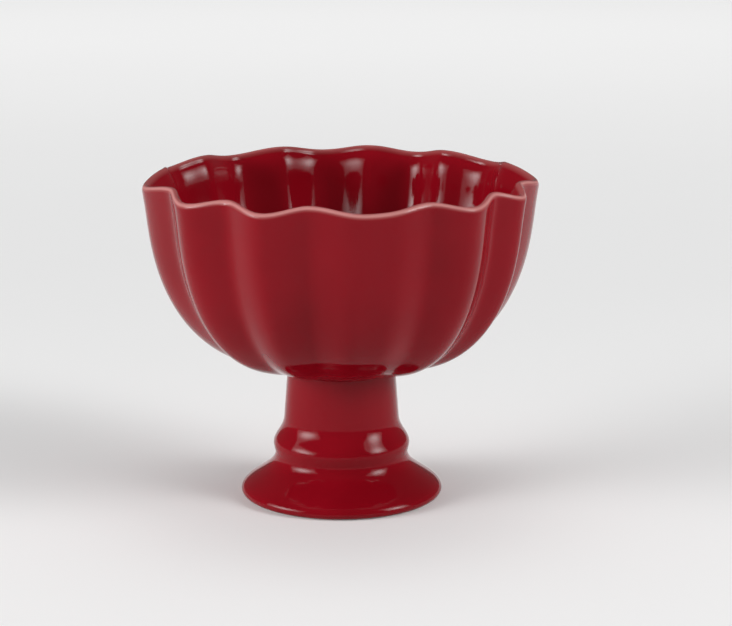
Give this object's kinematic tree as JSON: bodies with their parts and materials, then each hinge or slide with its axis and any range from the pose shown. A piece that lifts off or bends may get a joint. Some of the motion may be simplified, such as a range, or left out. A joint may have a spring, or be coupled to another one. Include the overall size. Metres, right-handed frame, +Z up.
{
  "type": "footed compote bowl",
  "caption": "Footed ceramic compote: fluted round bowl with a waved lip on a hollow turned pedestal with a bead and a flared foot, for serving fruit or sweets.",
  "frame": {"origin": "centre of the flat standing ring, on the table plane under the bowl's axis", "axes": "+Z up along the axis of the pedestal and the bowl; -Y is the front that the picture shows, +X is to its right"},
  "size_m": [0.1492, 0.1492, 0.1241],
  "materials": {
    "bowl_glaze": "gloss, deep red",
    "joint_glaze": "gloss, deep red",
    "pedestal_glaze": "gloss, deep red, with a bare clay standing ring"
  },
  "bodies": {
    "root": {"bowl": "bowl_glaze", "luting_slip": "joint_glaze", "pedestal": "pedestal_glaze"}
  },
  "joints": []
}
